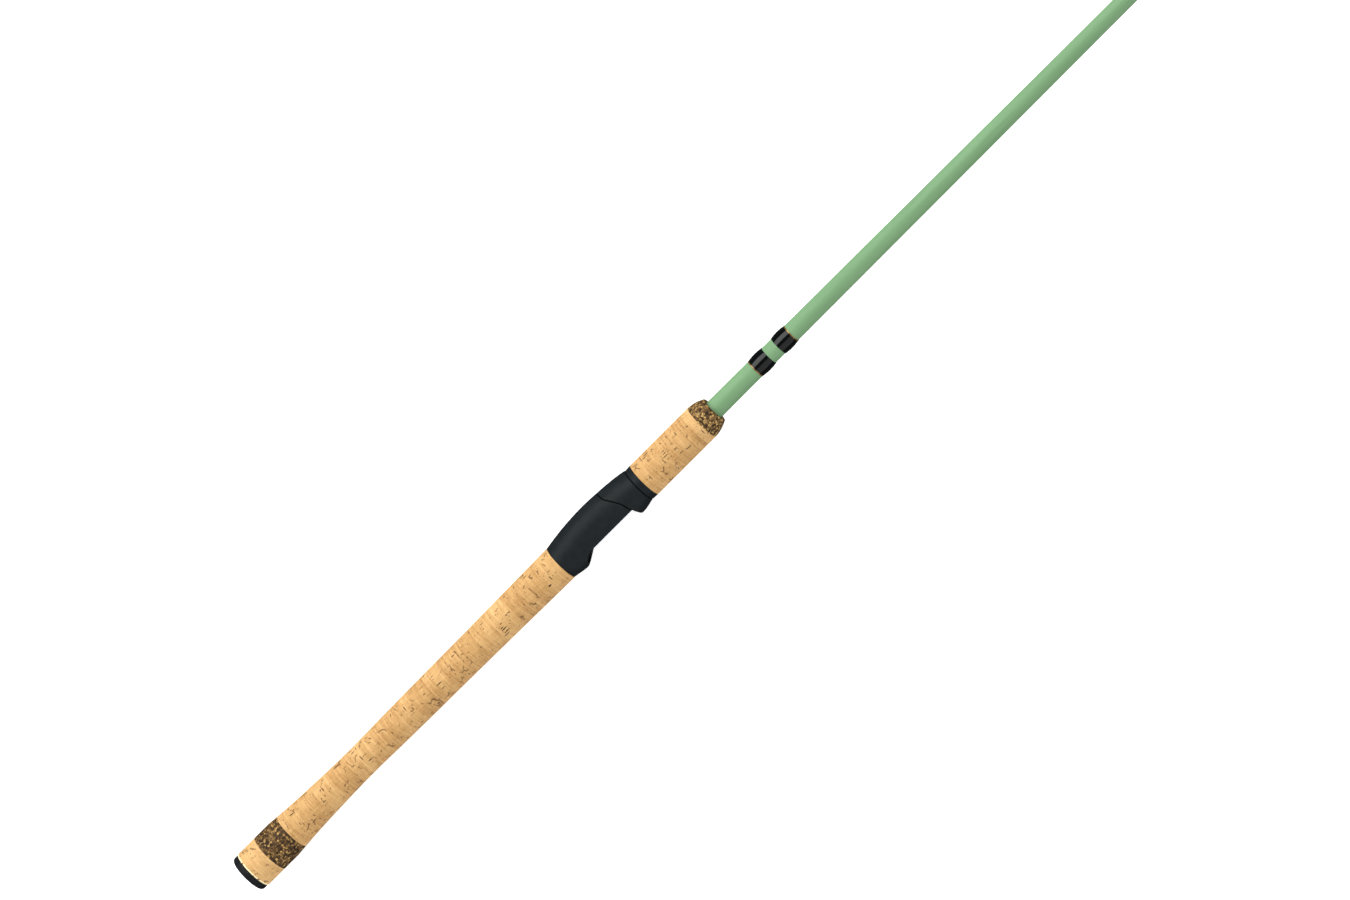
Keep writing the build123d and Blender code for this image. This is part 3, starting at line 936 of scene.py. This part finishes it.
def addWrap(build, back, front, crown, edge=wrapShape["edge"], foot=None, side=-90.0, power=2.0):
    # thread and varnish over the blank, with a long swelling over a foot when there is one
    count = max(16, round((front - back) / wrapShape["step"]))
    around = wrapShape["around"]
    outer, inner = [], []
    for i in range(count + 1):
        share = i / count
        x = back + (front - back) * share
        swell = edge + (1 - edge) * (1 - abs(2 * share - 1) ** power)
        radius = linearAt(blankSkin, x)
        bump, reach = foot(x) if foot else (0.0, 0.0)
        sizes = []
        for k in range(around):
            away = abs((360.0 * k / around - side + 180.0) % 360.0 - 180.0)
            ease = max(0.0, 1 - max(0.0, away - reach) / wrapShape["footSpread"])
            sizes.append(radius + crown * swell + bump * ease * ease * (3 - 2 * ease))
        outer.append(ringAt(build, x, sizes))
        inner.append(ringAt(build, x, [radius + wrapShape["gap"]] * around))
    for loops in (outer, inner):
        for first, second in zip(loops, loops[1:]):
            bridge(build, first, second)
    bridge(build, outer[0], inner[0])
    bridge(build, outer[-1], inner[-1])


def addTrim(build, back, front, count=6):
    # a narrow band of a few bright threads
    line = []
    for i in range(count + 1):
        x = back + (front - back) * i / count
        rise = wrapShape["trim"] * (0.55 + 0.45 * math.sin(math.pi * i / count))
        line.append((x, linearAt(blankSkin, x) + rise))
    inside = [(x, linearAt(blankSkin, x) + wrapShape["trimGap"]) for x in (front, back)]
    addTurned(build, line + inside, around=wrapShape["around"])


def islands(node):
    # the (low x, high x) spans of a node's separate solids, in order
    build = bmesh.new()
    build.from_mesh(frame["nodes"][node].data)
    bmesh.ops.remove_doubles(build, verts=build.verts, dist=1e-6)
    left = set(build.verts)
    spans = []
    while left:
        stack = [left.pop()]
        xs = []
        while stack:
            vertex = stack.pop()
            xs.append(vertex.co.x / mm)
            for edge in vertex.link_edges:
                other = edge.other_vert(vertex)
                if other in left:
                    left.discard(other)
                    stack.append(other)
        spans.append((min(xs), max(xs)))
    build.free()
    return sorted(spans)


def trims():
    for node, name in (("keeper_trim_bands", "keeper_trim"), ("guide_trim_bands", "guide_trim")):
        build = bmesh.new()
        for span in islands(node):
            addTrim(build, *span)
        place(meshObject(name, build), node, "trim_thread")


def tube(build, path, radii, around=20):
    # a round wire through the points, closed at both ends
    loops = []
    count = len(path)
    up = None
    for i in range(count):
        ahead = (path[min(i + 1, count - 1)] - path[max(i - 1, 0)]).normalized()
        if up is None:
            guess = Vector((0, 0, 1)) if abs(ahead.z) < 0.9 else Vector((0, 1, 0))
            up = (guess - ahead * guess.dot(ahead)).normalized()
        up = (up - ahead * up.dot(ahead)).normalized()
        side = ahead.cross(up)
        loop = []
        for k in range(around):
            turn = 2 * math.pi * k / around
            loop.append(build.verts.new(path[i] + (up * math.cos(turn) + side * math.sin(turn)) * radii[i]))
        loops.append(loop)
    skinned(build, loops)


def bentPath(corners, bend, steps=8):
    # straight runs with round bends between them
    made = [Vector(corners[0])]
    for before, here, after in zip(corners, corners[1:], corners[2:]):
        here = Vector(here)
        back, ahead = Vector(before) - here, Vector(after) - here
        reach = min(bend, back.length * 0.48, ahead.length * 0.48)
        start, end = here + back.normalized() * reach, here + ahead.normalized() * reach
        for k in range(steps + 1):
            t = k / steps
            made.append(start * (1 - t) ** 2 + here * (2 * t * (1 - t)) + end * t * t)
    made.append(Vector(corners[-1]))
    return made


slatShape = {"steps": 14, "around": 24, "sunk": 0.25, "squareness": 0.5, "taper": 0.6}


def slatAlong(build, back, front, thickness, halfWidth, side):
    # flat foot on the blank; thickness and half width are (at back, at front), side is -Y or -Z
    steps, around, sunk, power = (slatShape[key] for key in ("steps", "around", "sunk", "squareness"))
    loops = []
    for i in range(steps + 1):
        share = i / steps
        x = back + (front - back) * share
        tall = thickness[0] + (thickness[1] - thickness[0]) * share
        wide = halfWidth[0] + (halfWidth[1] - halfWidth[0]) * share
        bottom = linearAt(blankSkin, x) - sunk
        loop = []
        for k in range(around):
            turn = 2 * math.pi * k / around
            across = math.copysign(abs(math.cos(turn)) ** power, math.cos(turn)) * wide
            rise = 0.5 + 0.5 * math.copysign(abs(math.sin(turn)) ** power, math.sin(turn))
            up = bottom + (tall + sunk) * rise
            loop.append(build.verts.new((x, -up, across) if side == "y" else (x, across, -up)))
        loops.append(loop)
    skinned(build, loops)


keeperShape = {
    "wrapThickness": 0.65, "wrapEdge": 0.30, "wrapBump": 0.30, "wire": 0.6, "clear": 0.2, "inside": 4.4,
    "bend": 1.5, "reach": 2.5, "foot": (8.0, 0.9, 0.35, 0.15), "voxel": 0.13, "smoothing": 4,
}


def hookKeeper():
    shape = keeperShape
    spans = islands("keeper_wraps")
    wire, clear, reach = shape["wire"], shape["clear"], shape["reach"]
    back, front = spans[0][1] + wire + clear, spans[1][0] - wire - clear
    surface = linearAt(blankSkin, back)
    foot, top = -surface - clear, -surface - shape["inside"] - wire
    length, half, thick, thin = shape["foot"]
    narrow = half * slatShape["taper"]
    build = bmesh.new()
    path = bentPath([
        (back - reach, 0, foot), (back, 0, foot), (back, 0, top), (front, 0, top), (front, 0, foot),
        (front + reach, 0, foot),
    ], shape["bend"])
    tube(build, path, [wire] * len(path))
    slatAlong(build, back - length + wire, back, (thin, thick), (narrow, half), "z")
    slatAlong(build, front, front + length - wire, (thick, thin), (half, narrow), "z")
    keeper = meshObject("hook_keeper_wire", build)
    melt(keeper, shape["voxel"], shape["smoothing"])
    place(keeper, "hook_keeper", "dark_wire")

    build = bmesh.new()
    for number, (near, far) in enumerate(spans):
        def bump(x, near=near, far=far, number=number):
            share = (x - near) / (far - near)
            share = share if number == 0 else 1 - share
            return shape["wrapBump"] * max(0.0, min(1.0, (share - 0.15) / 0.85)), 8.0
        addWrap(build, near, far, shape["wrapThickness"], edge=shape["wrapEdge"], foot=bump)
    place(meshObject("keeper_thread", build), "keeper_wraps", "thread_wrap")


hookKeeper()
trims()
print("keeper, its wraps and the trim made")


guideShape = {
    "count": 7, "doubleFoot": 3, "lean": (8.0, 14.0), "legSpread": 48.0, "footThickness": (0.9, 0.28),
    "backReach": (0.42, 2.0), "frontReach": (0.30, 2.0), "footReach": (0.45, 6.0), "wire": (0.03, 0.45),
    "hoopLength": (0.05, 0.9), "ringExtra": 0.5, "voxel": 0.17, "smoothing": 3, "thinning": 0.22,
}
ringShape = {"flat": 0.12, "sunk": 0.01, "lip": 0.16, "roundness": 0.8, "steps": 16}


def scaled(pair, size):
    return pair[0] * size + pair[1]


def hoopPlace(centre, lean):
    # local X is the ring's axis, local +Y points at the blank
    return Matrix.Translation(centre) @ Matrix.Rotation(math.radians(lean), 4, "Z")


def hoopOutline(inner, outer, length):
    half = length / 2
    return softened([(-half, inner), (-half, outer), (half, outer), (half, inner)], (outer - inner) * 0.42)


def ceramicOutline(seat, size, length):
    # flat where it sits in the hoop, a half round where the line runs
    half, flat, steps = length / 2, length / 2 - ringShape["flat"], ringShape["steps"]
    outside, edge = seat - ringShape["sunk"], seat - ringShape["lip"]
    outline = [(-flat, outside), (flat, outside), (half, edge)]
    depth = edge - (0.84 * size - 1.6) / 2
    for i in range(1, steps):
        turn = math.pi * i / steps
        outline.append((half * math.cos(turn), edge - depth * math.sin(turn) ** ringShape["roundness"]))
    return outline + [(-half, edge)]


def hoopPoint(hoop, middle, degrees):
    # a point in the hoop's wire, so many degrees round from the side next to the blank
    turn = math.radians(degrees)
    return hoop @ Vector((0, middle * math.cos(turn), middle * math.sin(turn)))


def thinned(path, wire):
    # radii of a leg that thins towards the hoop
    return [wire * (1.0 - guideShape["thinning"] * i / len(path)) for i in range(len(path))]


def clearHoop(piece, hoop, seat, length, around):
    # cuts the ring's room out of the wirework
    cutter = bmesh.new()
    reach = length * 2
    addTurned(cutter, [(-reach, 0), (reach, 0), (reach, seat), (-reach, seat)], hoop, around)
    carve(piece, meshObject("cutter", cutter))


def lineGuide(number):
    shape = guideShape
    low, high = nodeBox(f"guide_{number}_ring")
    centre = (low + high) / 2
    seat = (high.z - low.z) / 2
    size = (2 * seat + 0.5) / 0.92
    isDouble = number <= shape["doubleFoot"]
    lean = shape["lean"][0 if isDouble else 1]
    hoop = hoopPlace(centre, lean)
    wire = scaled(shape["wire"], size)
    length = scaled(shape["hoopLength"], size)
    backKnee = centre.x - scaled(shape["backReach"], size)
    frontKnee = centre.x + scaled(shape["frontReach"], size)
    footLength = scaled(shape["footReach"], size)
    middle = (size / 2 + seat) / 2
    footHalf = wire * 1.15
    narrow = footHalf * slatShape["taper"]

    build = bmesh.new()
    addTurned(build, hoopOutline(seat, size / 2, length), hoop, 160)
    legY = -linearAt(blankSkin, backKnee) - wire * 0.75
    for side in (1, -1):
        end = hoopPoint(hoop, middle, shape["legSpread"] * side)
        root, knee = side * wire * 0.15, side * wire * 0.2
        path = bentPath([(backKnee - wire * 3, legY, root), (backKnee, legY, knee), end], wire * 3)
        tube(build, path, thinned(path, wire))
    thick, thin = shape["footThickness"]
    slatAlong(build, backKnee - footLength, backKnee, (thin, thick), (narrow, footHalf), "y")
    if isDouble:
        end = hoopPoint(hoop, middle, 0)
        path = bentPath([(frontKnee + wire * 3, legY, 0), (frontKnee, legY, 0), end], wire * 3)
        tube(build, path, thinned(path, wire))
        slatAlong(build, frontKnee, frontKnee + footLength, (thick, thin), (footHalf, narrow), "y")
    wirework = meshObject(f"guide_{number}_wirework", build)
    melt(wirework, shape["voxel"] if number > 1 else shape["voxel"] * 1.2, shape["smoothing"])
    clearHoop(wirework, hoop, seat, length, 160)
    place(wirework, f"guide_{number}_frame", "guide_frame")

    build = bmesh.new()
    addTurned(build, ceramicOutline(seat, size, length + shape["ringExtra"]), hoop, 144)
    place(meshObject(f"guide_{number}_insert", build), f"guide_{number}_ring", "ceramic_ring")

    build = bmesh.new()
    for near, far in islands(f"guide_{number}_wraps"):
        towardsTip = near > centre.x

        def foot(x, towardsTip=towardsTip):
            away = (x - frontKnee) / footLength if towardsTip else (backKnee - x) / footLength
            tall = thick + (thin - thick) * max(0.0, min(1.0, away))
            radius = linearAt(blankSkin, x)
            fade = max(0.0, min(1.0, (1.12 - away) / 0.14))
            corner = math.hypot(radius + tall, footHalf) - radius
            return corner * fade, math.degrees(math.atan2(footHalf, radius + tall))
        addWrap(build, near, far, wrapShape["cover"], foot=foot, side=180.0, power=6.0)
    place(meshObject(f"guide_{number}_thread", build), f"guide_{number}_wraps", "thread_wrap")


for guideNumber in range(1, guideShape["count"] + 1):
    lineGuide(guideNumber)
print("line guides made")


topShape = {
    "size": 6.0, "lean": -18.0, "legSpread": 125.0, "leg": 0.5, "strut": 0.55, "around": 128,
    "tube": (2107.0, 2124.0, 1.6), "wrap": 0.5, "wrapEdge": 0.4, "voxel": 0.13,
}


def tipTop():
    shape = topShape
    low, high = nodeBox("tip_top_ring")
    size, around = shape["size"], shape["around"]
    seat = (high.z - low.z) / 2
    hoop = hoopPlace((low + high) / 2, shape["lean"])
    length = scaled(guideShape["hoopLength"], size)
    middle = (size / 2 + seat) / 2
    back, front, radius = shape["tube"]
    build = bmesh.new()
    addTurned(build, hoopOutline(seat, size / 2, length), hoop, around)
    tipX, tipRadius = blankSkin[-1]
    tubeLine = [(back, linearAt(blankSkin, back) + 0.01), (back, radius), (front, radius), (front, 0)]
    tubeLine += [(tipX + 0.1, 0), (tipX + 0.1, tipRadius + 0.01)]
    addTurned(build, softened(tubeLine, 0.25), around=72)
    for side in (1, -1):
        end = hoopPoint(hoop, middle, shape["legSpread"] * side)
        near, far = (back + 2.5, -radius, side * 0.25), (back + 5.5, -radius - 0.1, side * 0.45)
        path = bentPath([near, far, end], 2.0)
        tube(build, path, [shape["leg"]] * len(path))
    path = bentPath([(front - 2.5, -0.6, 0), (front - 0.8, -0.6, 0), hoopPoint(hoop, middle, 0)], 0.8)
    tube(build, path, [shape["strut"]] * len(path))
    wirework = meshObject("tip_top_wirework", build)
    melt(wirework, shape["voxel"], guideShape["smoothing"])
    clearHoop(wirework, hoop, seat, length, around)
    place(wirework, "tip_top_frame", "guide_frame")

    build = bmesh.new()
    addTurned(build, ceramicOutline(seat, size, length + guideShape["ringExtra"]), hoop, around)
    place(meshObject("tip_top_insert", build), "tip_top_ring", "ceramic_ring")

    build = bmesh.new()
    low, high = nodeBox("tip_top_wrap")
    addWrap(build, low.x, high.x, shape["wrap"], edge=shape["wrapEdge"])
    place(meshObject("tip_top_thread", build), "tip_top_wrap", "thread_wrap")


tipTop()

# the sleeves inside the seat keep their CAD shape and take a finish of their own
arbors = frame["nodes"]["seat_arbors"]
arbors.data.materials.clear()
arbors.data.materials.append(materials["arbor"])
print("tip-top and arbors made")


studio = {
    "aim": Vector((0.3384, -0.0004, 0.0)),
    "distance": 5.0,
    "tilt": 9.0,
    "roll": 44.92,
    "lens": 243.0,
    # each soft box: its two long edges as (y, z), its brightness, and whether glossy finishes mirror it
    "strips": {
        "key_strip": ((1.75, 0.85), (0.62, 1.80), 2.2, True),
        "key_wash": ((2.10, 0.02), (1.82, 1.05), 2.45, False),
        "fill_strip": ((-1.95, 0.41), (-0.55, 1.92), 0.5, True),
        "fill_wash": ((-2.10, 0.02), (-1.82, 1.05), 0.9, False),
    },
    "ambient": 0.64,
    "reflectedAmbient": 0.05,
    "stripLength": 3.0,
    "floorHalf": 20.0,
    "floorGlow": 0.55,
}


def floorPiece():
    half = studio["floorHalf"]
    low = cadBox[0].z
    corners = ((-half, -half), (half, -half), (half, half), (-half, half))
    build = bmesh.new()
    build.faces.new([build.verts.new((x, y, low)) for x, y in corners])
    floor = meshObject("floor", build)
    material, start, point = newMaterial("floor_white")
    cloud = start.noise(point, 0.004, 3.0)
    colour = cloud.ramp((0.3, (0.90, 0.90, 0.90, 1.0)), (0.7, (0.93, 0.93, 0.93, 1.0)))
    # the floor glows a little where it is seen, as on a light table, but lights nothing
    seen = start.node("ShaderNodeLightPath", output="Is Camera Ray")
    glow = seen.colours((0.0, 0.0, 0.0, 1.0), (1.0, 1.0, 1.0, 1.0))
    shading = {
        "Base Color": colour, "Roughness": 0.9, "Specular IOR Level": 0.1,
        "Emission Color": glow, "Emission Strength": studio["floorGlow"],
    }
    finishMaterial(start, shading, ((cloud, 0.02),))
    floor.data.materials.append(material)
    floor.visible_glossy = False


def strip(name, first, second, radiance, mirrored):
    # a long soft box beside the rod, between two edges given as (y, z)
    first, second = Vector((0, *first)), Vector((0, *second))
    width = (second - first).length
    light = bpy.data.lights.new(name, "AREA")
    light.shape = "RECTANGLE"
    light.size = studio["stripLength"]
    light.size_y = width
    light.energy = radiance * math.pi * studio["stripLength"] * width
    lamp = bpy.data.objects.new(name, light)
    bpy.context.scene.collection.objects.link(lamp)
    across = (second - first).normalized()
    along = Vector((1, 0, 0))
    back = along.cross(across)
    middle = (first + second) / 2
    if back.dot(middle) < 0:
        back, along = -back, -along
    turn = Matrix((along, across, back)).transposed().to_4x4()
    lamp.matrix_world = Matrix.Translation(middle + Vector((studio["aim"].x, 0, 0))) @ turn
    lamp.visible_camera = False
    lamp.visible_glossy = mirrored


def ambient():
    world = bpy.data.worlds.new("studio")
    world.use_nodes = True
    world.node_tree.nodes.clear()
    start = Socket(world.node_tree)
    mirrored = start.node("ShaderNodeLightPath", output="Is Glossy Ray")
    level = studio["ambient"] + mirrored * (studio["reflectedAmbient"] - studio["ambient"])
    sky = start.node("ShaderNodeBackground", {}, {"Color": (1.0, 1.0, 1.0, 1.0), "Strength": level})
    start.node("ShaderNodeOutputWorld", {}, {"Surface": sky})
    bpy.context.scene.world = world


def camera():
    tilt = math.radians(studio["tilt"])
    sight = Vector((-math.sin(tilt), 0, -math.cos(tilt)))
    along = Vector((1, 0, 0))
    along = (along - sight * along.dot(sight)).normalized()
    down = Vector((0, -1, 0))
    down = (down - sight * down.dot(sight) - along * down.dot(along)).normalized()
    roll = math.radians(studio["roll"])
    right = along * math.cos(roll) + down * math.sin(roll)
    up = along * math.sin(roll) - down * math.cos(roll)
    data = bpy.data.cameras.new("camera")
    data.lens = studio["lens"]
    data.clip_start, data.clip_end = 0.1, 100.0
    eye = bpy.data.objects.new("camera", data)
    bpy.context.scene.collection.objects.link(eye)
    turn = Matrix((right, up, -sight)).transposed().to_4x4()
    eye.matrix_world = Matrix.Translation(studio["aim"] - sight * studio["distance"]) @ turn
    bpy.context.scene.camera = eye


floorPiece()
for stripName, stripFacts in studio["strips"].items():
    strip(stripName, *stripFacts)
ambient()
camera()
bpy.context.scene.view_settings.view_transform = "Standard"
print("floor, light and camera set")
